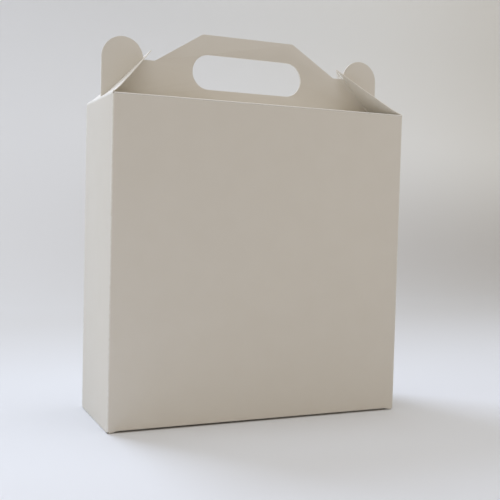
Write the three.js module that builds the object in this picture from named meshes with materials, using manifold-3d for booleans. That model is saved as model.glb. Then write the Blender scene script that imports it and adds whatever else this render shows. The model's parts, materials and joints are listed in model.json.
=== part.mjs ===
// A carry carton folded from one sheet of white board.
// A glued sleeve stands on an interlocking base. Its front and back panels fold over as a flat
// roof and turn up again as the two layers of a handle. A slotted, pointed flap leans in from each
// side, takes a round ear of the handle through its slot, and so holds the two layers together.
// Millimetres, +Z up, X across the front, Y from front to back, origin at the middle of the base.

import * as THREE from 'three';
import { mergeVertices } from 'three/addons/utils/BufferGeometryUtils.js';
import Module from 'manifold-3d';

const wasm = await Module();
wasm.setup();

// Sheet
const board = 0.6; // thickness
const foldRadius = 0.9; // from the middle of the sheet, at a square fold

// Sleeve
const width = 240;
const depth = 84;
const bodyHeight = 242; // up to the roof's top face
const gluedWidth = 16; // the strip inside the back panel that closes the sleeve
const gluedTaper = 5; // cut off each end of that strip
const glueFilm = 0.1;

// Roof and handle
const endClearance = 1.5; // what folds over stops this far short of the panel beside it
const handleHeight = 55.5; // above the roof, as the next ones
const shoulderHeight = 31.5;
const shoulderInset = 42.5; // from the side panel to where the slope starts
const slopeInset = 81; // from the side panel to where the slope ends
const slopeRadius = 4;
const shoulderRadius = 1.5;
const earWidth = 31.8;
const handHoleWidth = 94;
const handHoleHeight = 27;
const handHoleMiddle = 26.5;
const layerGap = 0.2; // between the handle's two layers

// Side flaps
const flapLean = 45; // degrees above level, closed
const flapReach = 56.3; // from the crease to the tip
const flapInset = 0.8; // from the front and back faces
const flapTipRadius = 0.8;
const hingeGap = 0.3; // from the crease line to the flap
const lipDrop = 0.6; // from the crease line to the side panel's top edge
const slotClearance = 0.3; // round the ear

// Base flaps, in the order in which they fold
const stackGap = 0.1; // between flaps that lie on each other
const cornerCut = 10; // mitre where two base flaps meet at a corner
const riseStart = 3; // from the panel, where a flap starts to climb over those below it
const riseEnd = 9.5;
const riseRadius = 4;
const backFlapReach = 56;
const recessWidth = 86; // in the back flap's free edge, for the tongue
const recessDepth = 25;
const sideFlapReach = 62;
const sideFlapTaper = 14;
const frontFlapReach = 42;
const tongueWidth = 80;
const tongueReach = 66; // from the front panel
const tongueRiseStart = 43;
const tongueRiseEnd = 52;
const flapCornerRadius = 4;

// Fineness of round edges
const foldStep = Math.PI / 16;
const arcStep = Math.PI / 24;

// Worked out from the above
const halfWidth = width / 2;
const halfDepth = depth / 2;
const foldReach = foldRadius + board / 2; // outer radius of a fold
const stackStep = board + stackGap;
const layerMiddle = layerGap / 2 + board / 2; // from the middle plane to the middle of a handle layer
const roofEnd = halfWidth - endClearance;
const earRadius = earWidth / 2;
const lean = THREE.MathUtils.degToRad(flapLean);

const along = {
  x: new THREE.Vector3(1, 0, 0),
  y: new THREE.Vector3(0, 1, 0),
  z: new THREE.Vector3(0, 0, 1),
};

// Each view says how an outline drawn flat is turned to lie in the carton
const views = {
  plan: new THREE.Matrix4(),
  fromSide: new THREE.Matrix4().makeBasis(along.y, along.z, along.x),
  fromFront: new THREE.Matrix4().makeBasis(along.x, along.z, along.y.clone().negate()),
};

// A closed three.js geometry as a solid that can be joined and cut
function toSolid(geometry) {
  const bare = geometry.clone();
  bare.deleteAttribute('normal');
  bare.deleteAttribute('uv');
  const merged = mergeVertices(bare);
  const snapped = Float32Array.from(merged.attributes.position.array, (v) => Math.round(v * 1e4) / 1e4);
  return new wasm.Manifold(new wasm.Mesh({
    numProp: 3,
    vertProperties: snapped,
    triVerts: Uint32Array.from(merged.index.array),
  }));
}

function toGeometry(solid) {
  const mesh = solid.getMesh();
  const geometry = new THREE.BufferGeometry();
  geometry.setAttribute('position', new THREE.BufferAttribute(mesh.vertProperties, 3));
  geometry.setIndex(new THREE.BufferAttribute(mesh.triVerts, 1));
  geometry.computeVertexNormals();
  return geometry;
}

// An outline carried straight from one place to another along the axis that its view looks along
function extrude(shape, view, from, to) {
  const geometry = new THREE.ExtrudeGeometry(shape, { depth: to - from, bevelEnabled: false });
  geometry.translate(0, 0, view === views.fromFront ? -to : from);
  geometry.applyMatrix4(view);
  return toSolid(geometry);
}

const joined = (solids) => solids.reduce((sum, solid) => sum.add(solid));

// The sheet seen on edge: straight runs of its middle line, joined by round bends.
// A corner is [a, b] or [a, b, radius].
function sheetOnEdge(corners) {
  const points = corners.map(([a, b]) => new THREE.Vector2(a, b));
  const runs = points.slice(1).map((point, i) => point.clone().sub(points[i]).normalize());
  const leftOf = (run) => new THREE.Vector2(-run.y, run.x);
  const stations = [{ point: points[0], left: leftOf(runs[0]) }];
  for (let i = 1; i < points.length - 1; i += 1) {
    const radius = corners[i][2] ?? foldRadius;
    const turn = Math.atan2(runs[i - 1].cross(runs[i]), runs[i - 1].dot(runs[i]));
    const side = Math.sign(turn);
    const tangent = radius * Math.tan(Math.abs(turn) / 2);
    const start = points[i].clone().addScaledVector(runs[i - 1], -tangent);
    const centre = start.addScaledVector(leftOf(runs[i - 1]), side * radius);
    const steps = Math.max(2, Math.ceil(Math.abs(turn) / foldStep));
    for (let k = 0; k <= steps; k += 1) {
      const left = leftOf(runs[i - 1]).rotateAround(new THREE.Vector2(), (turn * k) / steps);
      stations.push({ point: centre.clone().addScaledVector(left, -side * radius), left });
    }
  }
  stations.push({ point: points.at(-1), left: leftOf(runs.at(-1)) });
  const face = (offset) => stations.map(({ point, left }) => point.clone().addScaledVector(left, offset));
  return new THREE.Shape([...face(board / 2), ...face(-board / 2).reverse()]);
}

// A flat outline through its corners, each [a, b] or [a, b, radius]
function roundedOutline(corners) {
  const points = corners.flatMap(([a, b, radius = 0], i) => {
    const corner = new THREE.Vector2(a, b);
    if (radius === 0) return [corner];
    const before = new THREE.Vector2(...corners.at(i - 1)).sub(corner).normalize();
    const after = new THREE.Vector2(...corners[(i + 1) % corners.length]).sub(corner).normalize();
    const half = Math.acos(before.dot(after)) / 2;
    const centre = before.clone().add(after).normalize().multiplyScalar(radius / Math.sin(half)).add(corner);
    const angleTo = (ray) => {
      const touch = corner.clone().addScaledVector(ray, radius / Math.tan(half)).sub(centre);
      return Math.atan2(touch.y, touch.x);
    };
    const clockwise = before.cross(after) > 0;
    const arc = new THREE.EllipseCurve(
      centre.x, centre.y, radius, radius, angleTo(before), angleTo(after), clockwise,
    );
    return arc.getPoints(Math.ceil((Math.PI - 2 * half) / arcStep));
  });
  return new THREE.Shape(points);
}

// The same corners again on the other side of the middle, in reverse order
const mirrored = (corners) => corners.map(([a, ...rest]) => [-a, ...rest]).reverse();

// Handle seen from the front, with the roof's ends below it
function handleOutline() {
  const shoulder = bodyHeight + shoulderHeight;
  const earTop = shoulder + earRadius;
  const leftHalf = [
    [-roofEnd, bodyHeight - 2 * foldReach],
    [-roofEnd, earTop, earRadius],
    [-roofEnd + earWidth, earTop, earRadius],
    [-roofEnd + earWidth, shoulder],
    [-halfWidth + shoulderInset, shoulder, shoulderRadius],
    [-halfWidth + slopeInset, bodyHeight + handleHeight, slopeRadius],
  ];
  return roundedOutline([...leftHalf, ...mirrored(leftHalf)]);
}

function handHoleOutline() {
  const radius = handHoleHeight / 2;
  const middle = bodyHeight + handHoleMiddle;
  const a = handHoleWidth / 2;
  return roundedOutline([
    [-a, middle - radius, radius],
    [a, middle - radius, radius],
    [a, middle + radius, radius],
    [-a, middle + radius, radius],
  ]);
}

// Four panels and the strip glued inside the back one, without the folds above and below
function sleeve() {
  const x = halfWidth - board / 2;
  const y = halfDepth - board / 2;
  const gluedLine = y - board - glueFilm;
  const section = sheetOnEdge([
    [halfWidth - board / 2, y],
    [-x, y],
    [-x, -y],
    [x, -y],
    [x, gluedLine],
    [x - gluedWidth, gluedLine],
  ]);
  const low = foldReach;
  const high = bodyHeight - foldReach;
  const stripStart = x - gluedWidth;
  const stripBack = gluedLine + board / 2;
  const taperCut = (end, into) => extrude(
    roundedOutline([
      [stripStart - 1, end],
      [halfWidth - foldReach, end],
      [stripStart - 1, end + into],
    ]),
    views.fromFront,
    stripBack - board - glueFilm,
    stripBack + glueFilm / 2,
  );
  const film = new THREE.BoxGeometry(gluedWidth - gluedTaper, 2 * glueFilm, high - low - 4 * gluedTaper);
  film.translate(x - gluedWidth / 2, stripBack + glueFilm / 2, bodyHeight / 2);
  return extrude(section, views.plan, low, high)
    .subtract(taperCut(low, gluedTaper))
    .subtract(taperCut(high, -gluedTaper))
    .add(toSolid(film));
}

// Front panel's top fold, half the roof and one layer of the handle.
// side is -1 at the front and 1 at the back.
function roofAndHandle(side) {
  const roofMiddle = bodyHeight - board / 2;
  const section = sheetOnEdge([
    [side * (halfDepth - board / 2), bodyHeight - foldReach],
    [side * (halfDepth - board / 2), roofMiddle],
    [side * layerMiddle, roofMiddle],
    [side * layerMiddle, bodyHeight + handleHeight],
  ]);
  return extrude(section, views.fromSide, -roofEnd, roofEnd)
    .intersect(extrude(handleOutline(), views.fromFront, -depth, depth))
    .subtract(extrude(handHoleOutline(), views.fromFront, -depth, depth));
}

// Top of a side panel, up to just below the crease of its flap
function sidePanelLip(side) {
  const lip = new THREE.BoxGeometry(board, depth - 2 * endClearance, foldReach - lipDrop);
  lip.translate(
    side * (halfWidth - board / 2),
    0,
    bodyHeight - (foldReach + lipDrop) / 2,
  );
  return toSolid(lip);
}

// Section of a base flap: down its panel, round the fold, and up over the flaps that it lies on
function baseFlapSection(side, panelFace, level, reach, start = riseStart, end = riseEnd) {
  const at = (distance) => side * (panelFace - distance);
  const corners = [
    [at(board / 2), foldReach],
    [at(board / 2), board / 2],
  ];
  if (level > 0) {
    corners.push([at(start), board / 2, riseRadius], [at(end), board / 2 + level * stackStep, riseRadius]);
  }
  corners.push([at(reach), board / 2 + level * stackStep]);
  return sheetOnEdge(corners);
}

// Folded first: it reaches past the middle, with a recess for the tongue
function backBaseFlap() {
  const near = halfDepth - backFlapReach;
  const recess = near + recessDepth;
  const half = [
    [-recessWidth / 2, recess, flapCornerRadius / 2],
    [-recessWidth / 2, near, flapCornerRadius],
    [-roofEnd + cornerCut, near, flapCornerRadius],
    [-roofEnd + cornerCut, halfDepth - cornerCut],
    [-roofEnd, halfDepth - endClearance],
    [-roofEnd, halfDepth],
  ];
  return extrude(baseFlapSection(1, halfDepth, 2, backFlapReach), views.fromSide, -roofEnd, roofEnd)
    .intersect(extrude(roundedOutline([...half, ...mirrored(half)]), views.plan, 0, foldReach + 2 * stackStep));
}

// Folded next, one from each side
function sideBaseFlap(side) {
  const edge = halfDepth - 2 * endClearance;
  const back = edge - cornerCut;
  const outline = [
    [0, -edge],
    [endClearance, -edge],
    [cornerCut, -back],
    [sideFlapReach - sideFlapTaper, -back, flapCornerRadius],
    [sideFlapReach, -back + sideFlapTaper, flapCornerRadius],
    [sideFlapReach, back - sideFlapTaper, flapCornerRadius],
    [sideFlapReach - sideFlapTaper, back, flapCornerRadius],
    [cornerCut, back],
    [endClearance, edge],
    [0, edge],
  ].map(([fromPanel, y, radius]) => [side * (halfWidth - fromPanel), y, radius]);
  if (side > 0) outline.reverse();
  return extrude(baseFlapSection(side, halfWidth, 1, sideFlapReach), views.fromFront, -edge, edge)
    .intersect(extrude(roundedOutline(outline), views.plan, 0, foldReach + stackStep));
}

// Folded last: it lies on the table, and its tongue rises through the recess onto the back flap
function frontBaseFlap() {
  const free = -halfDepth + frontFlapReach;
  const tip = -halfDepth + tongueReach;
  const flatHalf = [
    [-roofEnd, -halfDepth],
    [-roofEnd, -halfDepth + endClearance],
    [-roofEnd + cornerCut, -halfDepth + cornerCut],
    [-roofEnd + cornerCut, free, flapCornerRadius],
  ];
  const flatPart = extrude(
    baseFlapSection(-1, halfDepth, 0, frontFlapReach),
    views.fromSide,
    -roofEnd,
    roofEnd,
  ).intersect(extrude(roundedOutline([...flatHalf, ...mirrored(flatHalf)].reverse()), views.plan, 0, foldReach));
  const tongueSection = sheetOnEdge([
    [free - flapCornerRadius, board / 2],
    [-halfDepth + tongueRiseStart, board / 2, riseRadius],
    [-halfDepth + tongueRiseEnd, board / 2 + 3 * stackStep, riseRadius],
    [tip, board / 2 + 3 * stackStep],
  ]);
  const tongueHalf = [
    [tongueWidth / 2, free - flapCornerRadius],
    [tongueWidth / 2, tip, 2 * flapCornerRadius],
  ];
  const tongue = extrude(tongueSection, views.fromSide, -tongueWidth / 2, tongueWidth / 2)
    .intersect(extrude(roundedOutline([...tongueHalf, ...mirrored(tongueHalf)]), views.plan, 0, 4 * stackStep));
  return flatPart.add(tongue);
}

function carton() {
  return joined([
    sleeve(),
    roofAndHandle(-1),
    roofAndHandle(1),
    sidePanelLip(-1),
    sidePanelLip(1),
    backBaseFlap(),
    sideBaseFlap(-1),
    sideBaseFlap(1),
    frontBaseFlap(),
  ]);
}

// A side flap laid flat: X along its crease, Y from the crease to the tip, thickness up from Z = 0.
// The slot runs from beside the ear's foot to past the ear's farthest point from the crease,
// so that the flap swings off the ear without touching it.
function sideFlap() {
  const earFoot = endClearance / Math.cos(lean) - board * Math.tan(lean);
  const earFarthest = Math.hypot(endClearance + earRadius, shoulderHeight) + earRadius;
  const slotHalf = layerGap / 2 + board + slotClearance;
  const slotStart = earFoot - slotClearance;
  const slotEnd = earFarthest + slotClearance;
  const base = halfDepth - flapInset;
  const outline = roundedOutline([
    [-base, hingeGap],
    [base, hingeGap],
    [0, flapReach, flapTipRadius],
  ]);
  const slot = roundedOutline([
    [-slotHalf, slotStart],
    [slotHalf, slotStart],
    [slotHalf, slotEnd, slotHalf],
    [-slotHalf, slotEnd, slotHalf],
  ]);
  return extrude(outline, views.plan, 0, board).subtract(extrude(slot, views.plan, -board, 2 * board));
}

const whiteBoard = (shade) => new THREE.MeshStandardMaterial({ color: shade, roughness: 0.62, metalness: 0 });

const box = new THREE.Group();
box.name = 'storage_box_with_handle';

const cartonMesh = new THREE.Mesh(toGeometry(carton()), whiteBoard('#ece8e0'));
cartonMesh.name = 'carton';
box.add(cartonMesh);

// Each flap hangs on the top edge of its side panel and leans in over the roof
const flapGeometry = toGeometry(sideFlap());
const inward = new THREE.Vector3(Math.cos(lean), 0, Math.sin(lean));
const flapFacing = new THREE.Matrix4().makeBasis(along.y, inward, along.y.clone().cross(inward));
for (const [name, turn] of [['left_side_flap', 0], ['right_side_flap', Math.PI]]) {
  const hinge = new THREE.Group();
  hinge.rotation.z = turn;
  const flap = new THREE.Mesh(flapGeometry, whiteBoard('#efebe4'));
  flap.name = name;
  flap.position.set(-halfWidth, 0, bodyHeight);
  flap.setRotationFromMatrix(flapFacing);
  hinge.add(flap);
  box.add(hinge);
}

export default box;
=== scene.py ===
import json
import math

import bmesh
import bpy
from mathutils import Matrix, Vector


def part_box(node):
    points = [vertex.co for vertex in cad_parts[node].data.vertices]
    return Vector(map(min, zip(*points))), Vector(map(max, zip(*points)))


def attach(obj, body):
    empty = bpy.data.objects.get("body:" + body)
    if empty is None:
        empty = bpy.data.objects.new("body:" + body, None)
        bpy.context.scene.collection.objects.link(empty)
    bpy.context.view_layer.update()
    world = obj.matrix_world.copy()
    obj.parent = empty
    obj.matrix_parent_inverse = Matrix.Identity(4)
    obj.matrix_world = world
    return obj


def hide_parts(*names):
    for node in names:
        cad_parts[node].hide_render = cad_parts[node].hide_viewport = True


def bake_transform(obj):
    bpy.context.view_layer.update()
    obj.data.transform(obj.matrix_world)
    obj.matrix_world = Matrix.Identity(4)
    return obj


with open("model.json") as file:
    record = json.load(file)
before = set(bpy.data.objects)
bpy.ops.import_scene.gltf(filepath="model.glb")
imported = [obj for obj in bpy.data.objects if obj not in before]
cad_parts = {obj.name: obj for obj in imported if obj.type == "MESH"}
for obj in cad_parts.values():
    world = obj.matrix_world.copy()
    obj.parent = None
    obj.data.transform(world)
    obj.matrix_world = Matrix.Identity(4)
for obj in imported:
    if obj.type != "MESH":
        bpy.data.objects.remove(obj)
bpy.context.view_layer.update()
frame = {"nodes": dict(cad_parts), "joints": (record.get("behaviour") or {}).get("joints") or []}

mm = 0.001  # Blender works in metres, and sizes are written here in millimetres
hair = 0.01 * mm  # two places closer than this count as the same
weld = 1e-6  # metres, and two points closer than this become one
boxLow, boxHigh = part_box("carton")
halfWidth = boxHigh.x
halfDepth = boxHigh.y
creaseHeight = frame["joints"][0]["pos_m"][2]  # of the side flaps, at the top of the panels
print("frame loaded, carton", [round(v / mm, 1) for v in boxHigh - boxLow], "mm")


# Camera, as it stood for the photograph

cameraSet = {
    "place": (-261.2, -609.8, 161.5),  # mm from the middle of the base
    "yaw": 23.645,  # degrees to the right of straight at the front
    "pitch": 2.762,  # degrees down
    "roll": -1.444,  # degrees
    "sensor": 36,  # mm wide
    "lens": 59.15,  # mm
}


def makeCamera(s):
    yaw, pitch, roll = (math.radians(s[k]) for k in ("yaw", "pitch", "roll"))
    forward = Vector((math.sin(yaw) * math.cos(pitch), math.cos(yaw) * math.cos(pitch), -math.sin(pitch)))
    right = Vector((math.cos(yaw), -math.sin(yaw), 0))
    down = forward.cross(right)
    rolledRight = right * math.cos(roll) + down * math.sin(roll)
    rolledDown = down * math.cos(roll) - right * math.sin(roll)
    turn = Matrix((rolledRight, -rolledDown, -forward)).transposed().to_4x4()
    camera = bpy.data.objects.new("camera", bpy.data.cameras.new("camera"))
    camera.data.sensor_width = s["sensor"]
    camera.data.lens = s["lens"]
    camera.matrix_world = Matrix.Translation(Vector(s["place"]) * mm) @ turn
    bpy.context.scene.collection.objects.link(camera)
    bpy.context.scene.camera = camera


makeCamera(cameraSet)
print("camera set")


# Shader groups of the board: its fibres, and the wear and painted highlight along its folds

def feed(tree, socket, value):
    # from another node's output, or as a fixed value
    if isinstance(value, bpy.types.NodeSocket):
        tree.links.new(value, socket)
    else:
        socket.default_value = value


def newGroup(name, inputs, outputs):
    group = bpy.data.node_groups.new(name, "ShaderNodeTree")
    for label, kind, default in inputs:
        socket = group.interface.new_socket(label, in_out="INPUT", socket_type=kind)
        if default is not None:
            socket.default_value = default
    for label, kind in outputs:
        group.interface.new_socket(label, in_out="OUTPUT", socket_type=kind)
    return group, group.nodes.new("NodeGroupInput"), group.nodes.new("NodeGroupOutput")


def mathNode(tree, operation, a, b=None, clamp=False):
    node = tree.nodes.new("ShaderNodeMath")
    node.operation = operation
    node.use_clamp = clamp
    feed(tree, node.inputs[0], a)
    if b is not None:
        feed(tree, node.inputs[1], b)
    return node.outputs[0]


def noise(tree, vector, scale, detail, roughness, distortion=0.0):
    node = tree.nodes.new("ShaderNodeTexNoise")
    for label, value in (("Vector", vector), ("Scale", scale), ("Detail", detail),
                         ("Roughness", roughness), ("Distortion", distortion)):
        feed(tree, node.inputs[label], value)
    return node.outputs["Fac"]


def makePaperFibre():
    # fine fibres lying mostly upright in the sheet, over soft clouds where the pulp lies thicker
    group, given, result = newGroup(
        "paperFibre",
        [("Vector", "NodeSocketVector", None), ("Fibre Scale", "NodeSocketFloat", 1400.0),
         ("Cloud Scale", "NodeSocketFloat", 55.0), ("Cloud Share", "NodeSocketFloat", 0.35)],
        [("Height", "NodeSocketFloat"), ("Cloud", "NodeSocketFloat")],
    )
    stretch = group.nodes.new("ShaderNodeVectorMath")
    stretch.operation = "MULTIPLY"
    stretch.inputs[1].default_value = (1.0, 1.0, 0.3)  # about three times as long as wide
    group.links.new(given.outputs["Vector"], stretch.inputs[0])
    fibre = noise(group, stretch.outputs[0], given.outputs["Fibre Scale"],
                  detail=5.0, roughness=0.62, distortion=0.4)
    cloud = noise(group, given.outputs["Vector"], given.outputs["Cloud Scale"], detail=3.0, roughness=0.5)
    cloudPart = mathNode(group, "MULTIPLY", cloud, given.outputs["Cloud Share"])
    group.links.new(mathNode(group, "ADD", fibre, cloudPart), result.inputs["Height"])
    group.links.new(cloud, result.inputs["Cloud"])
    return group


def makeFoldWearAndHighlight():
    # how near a point lies to the long folds of the sleeve, broken up as rubbed board is; it lightens the
    # board there, partly as rubbed board and partly as a painted highlight on the folds
    group, given, result = newGroup(
        "foldWearAndHighlight",
        [("Vector", "NodeSocketVector", None), ("Half Width", "NodeSocketFloat", None),
         ("Half Depth", "NodeSocketFloat", None), ("Top", "NodeSocketFloat", None),
         ("Reach", "NodeSocketFloat", 1.6 * mm), ("Patch Scale", "NodeSocketFloat", 320.0),
         ("Patch Floor", "NodeSocketFloat", 0.24), ("Patch Gain", "NodeSocketFloat", 3.2)],
        [("Wear And Highlight", "NodeSocketFloat")],
    )
    split = group.nodes.new("ShaderNodeSeparateXYZ")
    group.links.new(given.outputs["Vector"], split.inputs[0])
    fromSide = mathNode(group, "ABSOLUTE", mathNode(
        group, "SUBTRACT", given.outputs["Half Width"], mathNode(group, "ABSOLUTE", split.outputs["X"])))
    fromFace = mathNode(group, "ABSOLUTE", mathNode(
        group, "SUBTRACT", given.outputs["Half Depth"], mathNode(group, "ABSOLUTE", split.outputs["Y"])))
    fromTop = mathNode(group, "ABSOLUTE", mathNode(
        group, "SUBTRACT", given.outputs["Top"], split.outputs["Z"]))
    fromBase = mathNode(group, "ABSOLUTE", split.outputs["Z"])
    nearest = None
    for a, b in ((fromSide, fromFace), (fromFace, fromTop), (fromSide, fromTop), (fromFace, fromBase),
                 (fromSide, fromBase)):
        edge = mathNode(group, "MAXIMUM", a, b)
        nearest = edge if nearest is None else mathNode(group, "MINIMUM", nearest, edge)
    closeness = mathNode(group, "SUBTRACT", 1.0, mathNode(
        group, "DIVIDE", nearest, given.outputs["Reach"]), clamp=True)
    patches = noise(group, given.outputs["Vector"], given.outputs["Patch Scale"], detail=5.0, roughness=0.65)
    overFloor = mathNode(group, "SUBTRACT", patches, given.outputs["Patch Floor"])
    strength = mathNode(group, "MULTIPLY", overFloor, given.outputs["Patch Gain"])
    group.links.new(mathNode(group, "MULTIPLY", closeness, strength, clamp=True), result.inputs["Wear And Highlight"])
    return group


paperFibre = makePaperFibre()
foldWearAndHighlight = makeFoldWearAndHighlight()


# Materials

faceLooks = {
    "white": (0.800, 0.770, 0.712),
    "cloudy": (0.772, 0.740, 0.678),  # where the pulp lies thicker
    "rubbedAndHighlight": (0.90, 0.885, 0.85),  # along the folds: rubbed board, and partly a painted highlight
    "roughness": 0.5,
    "fibreRoughness": 0.18,  # added by the fibres
    "rubbedRoughness": 0.15,  # and by a rubbed fold
    "specular": 0.3,
    "bump": 0.35,
    "bumpHeight": 0.04,  # mm
}
coreLooks = {
    "dark": (0.80, 0.765, 0.70),
    # partly the raw core's colour, partly a painted highlight on the cut edges
    "lightAndHighlight": (0.92, 0.895, 0.845),
    "fibreScale": 2600.0,
    "layerScale": 400.0,
    "layerShare": 0.8,
    "roughness": 0.85,
    "specular": 0.15,
    "bump": 0.6,
    "bumpHeight": 0.08,  # mm
}


def placeGroup(tree, group, vector, **values):
    node = tree.nodes.new("ShaderNodeGroup")
    node.node_tree = group
    tree.links.new(vector, node.inputs["Vector"])
    for label, value in values.items():
        feed(tree, node.inputs[label.replace("_", " ")], value)
    return node


def mixColour(tree, share, a, b):
    node = tree.nodes.new("ShaderNodeMix")
    node.data_type = "RGBA"
    tree.links.new(share, node.inputs["Factor"])
    for socket, value in ((node.inputs[6], a), (node.inputs[7], b)):
        feed(tree, socket, (*value, 1.0) if isinstance(value, tuple) else value)
    return node.outputs[2]


def startMaterial(name, looks):
    material = bpy.data.materials.new(name)
    material.use_nodes = True
    shader = material.node_tree.nodes["Principled BSDF"]
    shader.inputs["Roughness"].default_value = looks["roughness"]
    shader.inputs["Specular IOR Level"].default_value = looks["specular"]
    place = material.node_tree.nodes.new("ShaderNodeTexCoord").outputs["Object"]
    return material, material.node_tree, shader, place


def addBump(tree, shader, height, looks):
    bump = tree.nodes.new("ShaderNodeBump")
    bump.inputs["Strength"].default_value = looks["bump"]
    bump.inputs["Distance"].default_value = looks["bumpHeight"] * mm
    tree.links.new(height, bump.inputs["Height"])
    tree.links.new(bump.outputs["Normal"], shader.inputs["Normal"])


def makeBoardFace(looks):
    material, tree, shader, place = startMaterial("boardFace", looks)
    fibre = placeGroup(tree, paperFibre, place)
    wearAndHighlight = placeGroup(tree, foldWearAndHighlight, place, Half_Width=halfWidth, Half_Depth=halfDepth, Top=creaseHeight)
    base = mixColour(tree, fibre.outputs["Cloud"], looks["white"], looks["cloudy"])
    # lighter along the folds: partly rubbed board, partly a painted highlight
    colour = mixColour(tree, wearAndHighlight.outputs["Wear And Highlight"], base, looks["rubbedAndHighlight"])
    tree.links.new(colour, shader.inputs["Base Color"])
    fromFibre = mathNode(tree, "MULTIPLY", fibre.outputs["Height"], looks["fibreRoughness"])
    fromWear = mathNode(tree, "MULTIPLY", wearAndHighlight.outputs["Wear And Highlight"], looks["rubbedRoughness"])
    rough = mathNode(tree, "ADD", looks["roughness"], fromFibre)
    tree.links.new(mathNode(tree, "ADD", rough, fromWear), shader.inputs["Roughness"])
    addBump(tree, shader, fibre.outputs["Height"], looks)
    return material


def makeCutEdge(looks):
    # bare fibres, in layers that run along the sheet, coloured lighter than the face: partly the raw core,
    # partly a painted highlight on the cut edges
    material, tree, shader, place = startMaterial("cutEdge", looks)
    fibre = placeGroup(tree, paperFibre, place, Fibre_Scale=looks["fibreScale"],
                       Cloud_Scale=looks["layerScale"], Cloud_Share=looks["layerShare"])
    # the cut face's colour is painted lighter than the face, a painted highlight as well as the core's tone
    colour = mixColour(tree, fibre.outputs["Cloud"], looks["dark"], looks["lightAndHighlight"])
    tree.links.new(colour, shader.inputs["Base Color"])
    addBump(tree, shader, fibre.outputs["Height"], looks)
    return material


boardFace = makeBoardFace(faceLooks)
cutEdge = makeCutEdge(coreLooks)
print("materials made")


# The folded sheet: the frame's own solid with its cut edges eased and marked

cartonSet = {
    "board": 0.6,  # mm thick
    "cutWidths": (0.4, 1.05),  # a cut face is this many boards wide, between sharp edges
    "flatWithin": 0.5,  # degrees, facets this near to flat are joined
    "sharpFrom": 40,  # degrees between faces
    "edgeEase": 0.1,  # how far a die-cut edge is rounded over
    "sideBand": 1.0,  # a side panel lies this close to the carton's side
    "seamAcross": 1.3,  # the glued seam at the back right stays sharp this far from the side,
    "seamDeep": 2.5,  # this far from the back
    "seamBelow": 0.1,  # and from this far below the top of the panel
    "lipDrop": 0.6,  # from the crease of a side flap down to the top of its panel
    "lipBand": 1.3,  # the middles of that top's end faces lie less than this below the crease
    "lipEnd": 2.0,  # and this close to the front or back,
    "lipFacing": 0.9,  # which they face by this share of their normal
    "lipReach": 0.9,  # how far that top runs on into the corner
    "foldEnd": 118.5,  # from the middle to the end of a roof fold
    "foldDrop": 1.15,  # the fold's arc lies less than this below the crease
    "foldIn": 1.25,  # and this close to the front or back
    "foldReach": 0.55,  # how far it runs on towards the side flap
    "bowRise": 1.3,  # how far the front's lower fold bows up off the floor
    "bowFrom": 2,  # from the front, where that starts to fade
    "bowDepth": 12,  # and where it ends, in under the carton
    "bowTaper": 7,  # from where it starts, beside a corner, to its full rise
    "bowCuts": (1.8, 2.6, 3.6, 5, 6.5, 8.5),  # from a corner, where the fold gets more points
    "bowRows": (3, 5, 8, 11.9),  # from the front, where the base flap gets more
    "baseTop": 1.25,  # the front's base flap lies lower than this,
    "baseIn": 2.2,  # this close to the front at its ends, and further in between them
}
lipTop = creaseHeight - cartonSet["lipDrop"] * mm


def easeCutEdges(piece, s):
    # rounds the die-cut edges, but not at the seam or where a panel's top and its flap run on
    shape = bmesh.new()
    shape.from_mesh(piece.data)
    weight = shape.edges.layers.float.new("bevel_weight_edge")
    for edge in shape.edges:
        if len(edge.link_faces) != 2 or edge.calc_face_angle(0) < math.radians(s["sharpFrom"]):
            continue
        onLip = all(abs(v.co.z - lipTop) < hair and abs(v.co.x) > halfWidth - s["sideBand"] * mm
                    for v in edge.verts)
        atSeam = all(v.co.x > halfWidth - s["seamAcross"] * mm and v.co.y > halfDepth - s["seamDeep"] * mm
                     and v.co.z < lipTop - s["seamBelow"] * mm for v in edge.verts)
        edge[weight] = 0.0 if onLip or atSeam else 1.0
    for face in shape.faces:
        face.smooth = True
    shape.to_mesh(piece.data)
    shape.free()
    ease = piece.modifiers.new("easedEdges", "BEVEL")
    ease.limit_method = "WEIGHT"
    ease.width = s["edgeEase"] * mm
    ease.segments = 2
    ease.use_clamp_overlap = False
    ease.harden_normals = True


def markCutFaces(shape, s):
    # the narrow faces between sharp edges show the board's core
    narrowest, widest = (share * s["board"] * mm for share in s["cutWidths"])
    for face in shape.faces:
        width = 2 * face.calc_area() / face.calc_perimeter()
        sharpSides = sum(e.calc_face_angle(0) > math.radians(s["sharpFrom"]) for e in face.edges)
        isCut = narrowest < width < widest and sharpSides >= 2
        face.material_index = 1 if isCut else 0  # the slot of cutEdge, or of boardFace


def closeCorners(shape, s):
    # runs the top of each side panel and the ends of the roof's folds on, so that no hole shows at a corner
    lipEnds = []
    for face in shape.faces:
        middle = face.calc_center_median()
        inSide = abs(middle.x) > halfWidth - s["sideBand"] * mm
        atEnd = abs(middle.y) > halfDepth - s["lipEnd"] * mm and abs(face.normal.y) > s["lipFacing"]
        atTop = creaseHeight - s["lipBand"] * mm < middle.z < lipTop
        if inSide and atEnd and atTop:
            lipEnds.append(face)
    for face in lipEnds:
        out = Vector((0, math.copysign(s["lipReach"] * mm, face.normal.y), 0))
        grown = bmesh.ops.extrude_discrete_faces(shape, faces=[face])["faces"][0]
        bmesh.ops.translate(shape, verts=grown.verts, vec=out)
    for v in shape.verts:
        atFoldEnd = abs(abs(v.co.x) - s["foldEnd"] * mm) < hair
        inFold = v.co.z > creaseHeight - s["foldDrop"] * mm and abs(v.co.y) > halfDepth - s["foldIn"] * mm
        if atFoldEnd and inFold:
            v.co.x += math.copysign(s["foldReach"] * mm, v.co.x)
    return len(lipEnds)


def smoothStep(value):
    value = min(max(value, 0.0), 1.0)
    return value * value * (3 - 2 * value)


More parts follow.
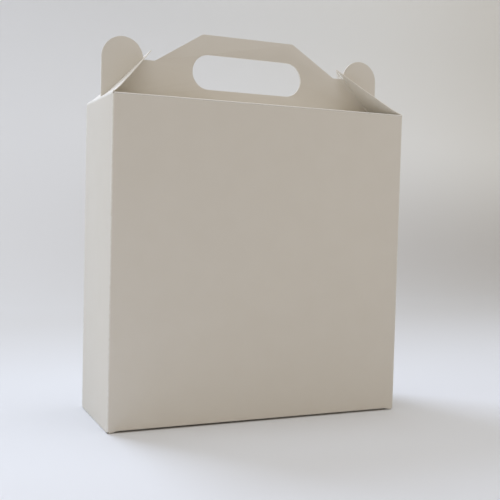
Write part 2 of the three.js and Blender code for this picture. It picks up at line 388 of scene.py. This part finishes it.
def bowFrontFold(shape, s):
    # lifts the front's lower fold between the corners, which leaves a dark gap over the floor
    planes = [((side * (halfWidth - cut * mm), 0, 0), (1, 0, 0)) for cut in s["bowCuts"] for side in (-1, 1)]
    planes += [((0, row * mm - halfDepth, 0), (0, 1, 0)) for row in s["bowRows"]]

    def onFrontFlap(v):
        inward = v.co.y + halfDepth
        fromEnd = max(s["foldEnd"] * mm - abs(v.co.x), 0)
        return v.co.z < s["baseTop"] * mm and inward < s["baseIn"] * mm + fromEnd

    for place, facing in planes:
        faces = [f for f in shape.faces if all(onFrontFlap(v) for v in f.verts)]
        edges = {e for f in faces for e in f.edges}
        verts = {v for f in faces for v in f.verts}
        bmesh.ops.bisect_plane(shape, geom=faces + list(edges) + list(verts), dist=weld,
                               plane_co=place, plane_no=facing)
    fadeLength = s["bowDepth"] - s["bowFrom"]
    for v in shape.verts:
        if onFrontFlap(v):
            nearFold = 1 - smoothStep((v.co.y + halfDepth - s["bowFrom"] * mm) / fadeLength / mm)
            fromCorner = smoothStep((s["foldEnd"] * mm - abs(v.co.x)) / s["bowTaper"] / mm)
            v.co.z += s["bowRise"] * mm * nearFold * fromCorner


def makeCarton(s):
    mesh = frame["nodes"]["carton"].data.copy()
    mesh.name = "cartonSheet"
    mesh.materials.clear()
    mesh.materials.append(boardFace)
    mesh.materials.append(cutEdge)
    shape = bmesh.new()
    shape.from_mesh(mesh)
    bmesh.ops.remove_doubles(shape, verts=shape.verts, dist=weld)
    bmesh.ops.dissolve_limit(shape, angle_limit=math.radians(s["flatWithin"]),
                             verts=shape.verts, edges=shape.edges)
    markCutFaces(shape, s)
    corners = closeCorners(shape, s)
    print("side panel tops run on at", corners, "corners")
    bowFrontFold(shape, s)
    shape.to_mesh(mesh)
    shape.free()
    piece = bpy.data.objects.new("cartonSheet", mesh)
    bpy.context.scene.collection.objects.link(piece)
    easeCutEdges(piece, s)
    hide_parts("carton")
    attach(piece, "carton")
    return piece


carton = makeCarton(cartonSet)
print("carton made,", len(carton.data.polygons), "faces")


# Side flaps: one tree lays out the pointed, slotted flap, gives it its thickness and folds it over

flapSet = {
    "Base Half": 41.2,  # mm, from the middle plane to a corner of the flap
    "Lip Half": 41.4,  # and to the end of the panel's top
    "Reach": 56.3,  # from the crease to where the two slopes would meet
    "Hinge Gap": 0.3,  # from the crease to the flap's corners
    "Tip Radius": 0.8,
    "Slot Half": 1.0,  # half its width
    "Slot Start": 1.2213,  # from the crease
    "Slot End": 52.166,  # from the crease to the end of its arc
    "Board": cartonSet["board"],
    "Lip Drop": cartonSet["lipDrop"],
    "Crease Radius": 1.4,  # of the outer face
    "Sag": 0.9,  # how far the held flap dips below the straight line from crease to tip
    "Sag Start": 3,  # how soon past the slot's start it has dipped
    "Lean": 45,  # degrees
}
flapPatches = {
    "Columns": 6,  # from the slot to the slope
    "Slot Columns": 2,  # in line with the slot
    "Lip Rows": 1,  # between the panel's top and the crease
    "Crease Rows": 6,
    "Neck Rows": 2,  # between the crease and the slot
    "Rows": 18,  # along the slot
    "Tip Steps": 20,  # round the slot's end
}


def makeFlapTree():
    tree = bpy.data.node_groups.new("slottedFlap", "GeometryNodeTree")
    sizes = [name for name in flapSet if name != "Lean"]
    for name in sizes + ["Half Width", "Height"]:
        tree.interface.new_socket(name, in_out="INPUT", socket_type="NodeSocketFloat")
    for name in ("Lean", "Turn"):
        tree.interface.new_socket(name, in_out="INPUT", socket_type="NodeSocketFloat").subtype = "ANGLE"
    for name in flapPatches:
        tree.interface.new_socket(name, in_out="INPUT", socket_type="NodeSocketInt")
    for name in ("Face", "Cut Edge"):
        tree.interface.new_socket(name, in_out="INPUT", socket_type="NodeSocketMaterial")
    tree.interface.new_socket("Geometry", in_out="OUTPUT", socket_type="NodeSocketGeometry")
    given = tree.nodes.new("NodeGroupInput").outputs

    def calc(operation, a, b=None):
        return mathNode(tree, operation, a, b)

    def setPlace(mesh, x, y, z):
        where = tree.nodes.new("ShaderNodeCombineXYZ")
        for socket, value in zip(where.inputs, (x, y, z)):
            feed(tree, socket, value)
        node = tree.nodes.new("GeometryNodeSetPosition")
        tree.links.new(mesh, node.inputs["Geometry"])
        tree.links.new(where.outputs[0], node.inputs["Position"])
        return node.outputs["Geometry"]

    def through(kind, geometry, label="Geometry", **links):
        node = tree.nodes.new(kind)
        for each in geometry if isinstance(geometry, list) else [geometry]:
            tree.links.new(each, node.inputs[label])
        for name, value in links.items():
            feed(tree, node.inputs[name.replace("_", " ")], value)
        return node

    here = tree.nodes.new("ShaderNodeSeparateXYZ")
    tree.links.new(tree.nodes.new("GeometryNodeInputPosition").outputs[0], here.inputs[0])
    across = calc("ADD", here.outputs["X"], 0.5)  # 0 to 1 over a patch
    along = calc("ADD", here.outputs["Y"], 0.5)

    def patch(columns, rows, place):
        grid = tree.nodes.new("GeometryNodeMeshGrid")
        grid.inputs["Size X"].default_value = 1
        grid.inputs["Size Y"].default_value = 1
        tree.links.new(calc("ADD", columns, 1), grid.inputs["Vertices X"])
        tree.links.new(calc("ADD", rows, 1), grid.inputs["Vertices Y"])
        return setPlace(grid.outputs["Mesh"], *place, calc("MULTIPLY", given["Board"], -1))

    def between(a, b, share):
        return calc("ADD", a, calc("MULTIPLY", calc("SUBTRACT", b, a), share))

    # Half the flap's width at a distance from the crease: it widens a little from the lip, then slopes in
    slope = calc("DIVIDE", given["Base Half"], calc("SUBTRACT", given["Reach"], given["Hinge Gap"]))
    flare = calc("DIVIDE", calc("SUBTRACT", given["Base Half"], given["Lip Half"]),
                 calc("ADD", given["Lip Drop"], given["Hinge Gap"]))

    def halfAt(distance):
        sloping = calc("MULTIPLY", slope, calc("SUBTRACT", given["Reach"], distance))
        pastLip = calc("ADD", distance, given["Lip Drop"])
        flaring = calc("ADD", given["Lip Half"], calc("MULTIPLY", flare, pastLip))
        return calc("MINIMUM", sloping, flaring)

    def bands(rows, begin, finish, overSlot):
        # the part on each side of the slot, and the part in line with the slot if the board is whole there
        distance = between(begin, finish, along)
        reach = calc("SUBTRACT", halfAt(distance), given["Slot Half"])
        rightward = calc("ADD", given["Slot Half"], calc("MULTIPLY", reach, across))
        leftward = calc("SUBTRACT", calc("MULTIPLY", reach, calc("SUBTRACT", across, 1)), given["Slot Half"])
        made = [patch(given["Columns"], rows, (rightward, distance)),
                patch(given["Columns"], rows, (leftward, distance))]
        if overSlot:
            middle = calc("MULTIPLY", given["Slot Half"], calc("SUBTRACT", calc("MULTIPLY", across, 2), 1))
            made.append(patch(given["Slot Columns"], rows, (middle, distance)))
        return made

    tangent = calc("MULTIPLY", given["Crease Radius"], calc("TANGENT", calc("MULTIPLY", given["Lean"], 0.5)))
    lip = calc("MULTIPLY", given["Lip Drop"], -1)
    slotCentre = calc("SUBTRACT", given["Slot End"], given["Slot Half"])
    patches = bands(given["Lip Rows"], lip, calc("MULTIPLY", tangent, -1), True)
    patches += bands(given["Crease Rows"], calc("MULTIPLY", tangent, -1), tangent, True)
    patches += bands(given["Neck Rows"], tangent, given["Slot Start"], True)
    patches += bands(given["Rows"], given["Slot Start"], slotCentre, False)

    # Round the slot's end to the tip: rays out to the slopes, or to the tip's own small arc
    angle = calc("MULTIPLY", along, math.pi)
    cosine, sine = calc("COSINE", angle), calc("SINE", angle)
    toSlope = calc("DIVIDE", calc("MULTIPLY", slope, calc("SUBTRACT", given["Reach"], slotCentre)),
                   calc("ADD", calc("ABSOLUTE", cosine), calc("MULTIPLY", slope, sine)))
    halfTip = calc("ARCTANGENT", slope)
    arcCentre = calc("SUBTRACT", calc("SUBTRACT", given["Reach"], slotCentre),
                     calc("DIVIDE", given["Tip Radius"], calc("SINE", halfTip)))
    offAxis = calc("MULTIPLY", arcCentre, cosine)
    chord = calc("SQRT", calc("MAXIMUM", calc("SUBTRACT", calc("POWER", given["Tip Radius"], 2),
                                              calc("MULTIPLY", offAxis, offAxis)), 0))
    toArc = calc("ADD", calc("MULTIPLY", arcCentre, sine), chord)
    touchOut = calc("MULTIPLY", given["Tip Radius"], calc("COSINE", halfTip))
    touchUp = calc("ADD", arcCentre, calc("MULTIPLY", given["Tip Radius"], calc("SINE", halfTip)))
    touchCosine = calc("DIVIDE", touchOut, calc("SQRT", calc(
        "ADD", calc("MULTIPLY", touchOut, touchOut), calc("MULTIPLY", touchUp, touchUp))))
    onArc = calc("LESS_THAN", calc("ABSOLUTE", cosine), touchCosine)
    ray = between(given["Slot Half"], between(toSlope, toArc, onArc), across)
    patches.append(patch(given["Columns"], given["Tip Steps"], (
        calc("MULTIPLY", ray, cosine), calc("ADD", slotCentre, calc("MULTIPLY", ray, sine)))))

    joined = through("GeometryNodeJoinGeometry", patches).outputs[0]
    underside = through("GeometryNodeMergeByDistance", joined, Distance=2 * weld).outputs[0]
    raised = through("GeometryNodeExtrudeMesh", underside, "Mesh", Offset=(0, 0, 1),
                     Offset_Scale=given["Board"], Individual=False)
    flipped = through("GeometryNodeFlipFaces", underside, "Mesh").outputs[0]
    closed = through("GeometryNodeJoinGeometry", [raised.outputs["Mesh"], flipped]).outputs[0]
    solid = through("GeometryNodeMergeByDistance", closed, Distance=2 * weld).outputs[0]

    # Fold it over the crease, dipping soon after it and coming back up at the tip
    share = mathNode(tree, "DIVIDE", here.outputs["Y"], given["Reach"], clamp=True)
    begun = calc("DIVIDE", calc("MAXIMUM", calc("SUBTRACT", here.outputs["Y"], given["Slot Start"]), 0),
                 given["Sag Start"])
    dip = calc("MULTIPLY", calc("SUBTRACT", 1, calc("EXPONENT", calc("MULTIPLY", begun, -1))),
               calc("SUBTRACT", 1, calc("POWER", share, 3)))  # back up over its last third
    height = calc("SUBTRACT", here.outputs["Z"], calc("MULTIPLY", given["Sag"], dip))
    bent = calc("MULTIPLY", given["Lean"], mathNode(
        tree, "DIVIDE", calc("ADD", here.outputs["Y"], tangent), calc("MULTIPLY", tangent, 2), clamp=True))
    inCrease = calc("MAXIMUM", calc("MINIMUM", here.outputs["Y"], tangent), calc("MULTIPLY", tangent, -1))
    past = calc("SUBTRACT", here.outputs["Y"], inCrease)
    bentCosine, bentSine = calc("COSINE", bent), calc("SINE", bent)
    arcInward = calc("MULTIPLY", given["Crease Radius"], calc("SUBTRACT", 1, bentCosine))
    arcUpward = calc("SUBTRACT", calc("MULTIPLY", given["Crease Radius"], bentSine), tangent)
    inward = calc("SUBTRACT", calc("ADD", arcInward, calc("MULTIPLY", past, bentSine)),
                  calc("MULTIPLY", height, bentCosine))
    upward = calc("ADD", calc("ADD", arcUpward, calc("MULTIPLY", past, bentCosine)),
                  calc("MULTIPLY", height, bentSine))
    folded = setPlace(solid, calc("SUBTRACT", inward, given["Half Width"]),
                      calc("MULTIPLY", here.outputs["X"], -1), calc("ADD", upward, given["Height"]))
    turned = tree.nodes.new("ShaderNodeVectorRotate")
    turned.rotation_type = "Z_AXIS"
    tree.links.new(tree.nodes.new("GeometryNodeInputPosition").outputs[0], turned.inputs["Vector"])
    tree.links.new(given["Turn"], turned.inputs["Angle"])
    placed = through("GeometryNodeSetPosition", folded, Position=turned.outputs[0]).outputs[0]
    real = through("GeometryNodeRealizeInstances", placed).outputs[0]
    faced = through("GeometryNodeSetMaterial", real, Material=given["Face"]).outputs[0]
    edged = through("GeometryNodeSetMaterial", faced, Material=given["Cut Edge"],
                    Selection=raised.outputs["Side"]).outputs[0]
    tree.links.new(edged, tree.nodes.new("NodeGroupOutput").inputs[0])
    return tree


def bakeModifiers(piece):
    graph = bpy.context.evaluated_depsgraph_get()
    mesh = bpy.data.meshes.new_from_object(piece.evaluated_get(graph))
    mesh.name = piece.name
    if mesh.materials[0] is None:
        mesh.materials.pop(index=0)  # an empty slot that joining the patches leaves
    piece.modifiers.clear()
    piece.data = mesh


def makeFlap(name, tree, side, s):
    piece = bpy.data.objects.new(name, bpy.data.meshes.new(name))
    bpy.context.scene.collection.objects.link(piece)
    values = {label: value * mm for label, value in s.items() if label != "Lean"}
    values.update(flapPatches)
    values.update({
        "Lean": math.radians(s["Lean"]),
        "Turn": 0.0 if side < 0 else math.pi,
        "Half Width": halfWidth,
        "Height": creaseHeight,
        "Face": boardFace,
        "Cut Edge": cutEdge,
    })
    layout = piece.modifiers.new("slottedFlap", "NODES")
    layout.node_group = tree
    for item in tree.interface.items_tree:
        if item.in_out == "INPUT":
            layout[item.identifier] = values[item.name]
    bakeModifiers(piece)
    easeCutEdges(piece, cartonSet)
    bakeModifiers(piece)
    return piece


flapTree = makeFlapTree()
for name, node, side in (("leftSideFlap", "left_side_flap", -1), ("rightSideFlap", "right_side_flap", 1)):
    flap = makeFlap(name, flapTree, side, flapSet)
    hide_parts(node)
    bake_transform(flap)
    print(name, "made,", len(flap.data.polygons), "faces")


# Stage: a white floor that runs up into a pale grey wall, with painted shade where the floor turns up, and
# the wall painted darker at the left and lighter at the right for how the lamps fall on it

stageSet = {
    "front": -1.8,  # metres, as the sizes below
    "back": 1.35,
    "curve": 0.65,  # radius
    "curveSteps": 24,
    "height": 2.4,
    "halfWidth": 3.0,
    "floor": (0.82, 0.838, 0.87),
    "foot": (0.60, 0.59, 0.57),  # painted shade where the floor turns up
    # the wall's left is painted darker and its right lighter, standing for how the lamps fall on it
    "shadedWallLeft": (0.625, 0.617, 0.60),
    "litWallRight": (0.95, 0.975, 0.98),
    "turnsGrey": (-0.2, 0.6),  # from where to where, going back, the floor's colour becomes the foot's painted shade
    "turnsPale": (0.03, 0.38),  # and, going up, that becomes the wall's
    "acrossWall": (-0.3, 1.2),  # and, going right, the left wall's painted shade becomes the right wall's painted light
    "roughness": 0.9,
    "specular": 0.1,
}


def makeStage(s):
    shape = bmesh.new()
    outline = [(s["front"], 0.0), (s["back"] - s["curve"], 0.0)]
    for i in range(1, s["curveSteps"] + 1):
        a = math.radians(90 * i / s["curveSteps"])
        outline.append((s["back"] - s["curve"] * (1 - math.sin(a)), s["curve"] * (1 - math.cos(a))))
    outline.append((s["back"], s["height"]))
    rows = [[shape.verts.new((x, y, z)) for y, z in outline] for x in (-s["halfWidth"], s["halfWidth"])]
    for i in range(len(outline) - 1):
        shape.faces.new((rows[0][i], rows[1][i], rows[1][i + 1], rows[0][i + 1])).smooth = True
    mesh = bpy.data.meshes.new("stage")
    shape.to_mesh(mesh)
    shape.free()
    stage = bpy.data.objects.new("stage", mesh)
    bpy.context.scene.collection.objects.link(stage)
    material, tree, shader, place = startMaterial("stagePaper", s)
    split = tree.nodes.new("ShaderNodeSeparateXYZ")
    tree.links.new(place, split.inputs[0])
    shares = []
    for axis, ends in (("Y", s["turnsGrey"]), ("Z", s["turnsPale"]), ("X", s["acrossWall"])):
        share = tree.nodes.new("ShaderNodeMapRange")
        share.interpolation_type = "SMOOTHSTEP"
        tree.links.new(split.outputs[axis], share.inputs["Value"])
        share.inputs["From Min"].default_value, share.inputs["From Max"].default_value = ends
        shares.append(share.outputs["Result"])
    # the wall's painted shade at the left turns to painted light at the right, and the floor turns to
    # painted shade where it curves up
    wall = mixColour(tree, shares[2], s["shadedWallLeft"], s["litWallRight"])
    beyond = mixColour(tree, shares[1], s["foot"], wall)
    tree.links.new(mixColour(tree, shares[0], s["floor"], beyond), shader.inputs["Base Color"])
    mesh.materials.append(material)


makeStage(stageSet)


# Light: a warm studio all round, and three cool area lamps

lightSet = {
    "worldColour": (1.0, 0.855, 0.67),
    "worldStrength": 0.445,
    "seenColour": (0.80, 0.81, 0.82),  # of the studio beyond the stage, as the camera and gloss see it
    "lamps": [
        # name, place, aimed at and size in metres, watts, colour
        ("windowBehind", (-0.45, 0.9, 1.35), (0, 0, 0.1), 0.7, 14.5, (0.715, 0.805, 1.0)),
        ("skyOnLeft", (-1.8, 0.2, 0.6), (0, 0, 0.14), 1.0, 5.4, (0.755, 0.885, 1.0)),
        ("topSoftbox", (0.2, -0.1, 2.0), (0, 0, 0.12), 1.2, 13.0, (0.765, 0.86, 1.0)),
    ],
}


def makeLights(s):
    world = bpy.data.worlds.new("studio")
    world.use_nodes = True
    tree = world.node_tree
    background = tree.nodes["Background"]
    background.inputs["Color"].default_value = (*s["worldColour"], 1)
    background.inputs["Strength"].default_value = s["worldStrength"]
    seen = tree.nodes.new("ShaderNodeBackground")
    seen.inputs["Color"].default_value = (*s["seenColour"], 1)
    path = tree.nodes.new("ShaderNodeLightPath").outputs
    inGloss = mathNode(tree, "MAXIMUM", path["Is Glossy Ray"], path["Is Transmission Ray"])
    isSeen = mathNode(tree, "MAXIMUM", path["Is Camera Ray"], inGloss)
    mix = tree.nodes.new("ShaderNodeMixShader")
    for socket, value in zip(mix.inputs, (isSeen, background.outputs[0], seen.outputs[0])):
        tree.links.new(value, socket)
    tree.links.new(mix.outputs[0], tree.nodes["World Output"].inputs["Surface"])
    bpy.context.scene.world = world
    for name, place, target, size, watts, colour in s["lamps"]:
        lamp = bpy.data.lights.new(name, "AREA")
        lamp.size = size
        lamp.energy = watts
        lamp.color = colour
        holder = bpy.data.objects.new(name, lamp)
        aim = Vector(target) - Vector(place)
        holder.matrix_world = Matrix.Translation(place) @ aim.to_track_quat("-Z", "Y").to_matrix().to_4x4()
        bpy.context.scene.collection.objects.link(holder)


makeLights(lightSet)
bpy.context.scene.view_settings.view_transform = "Standard"
print("stage and lights set")
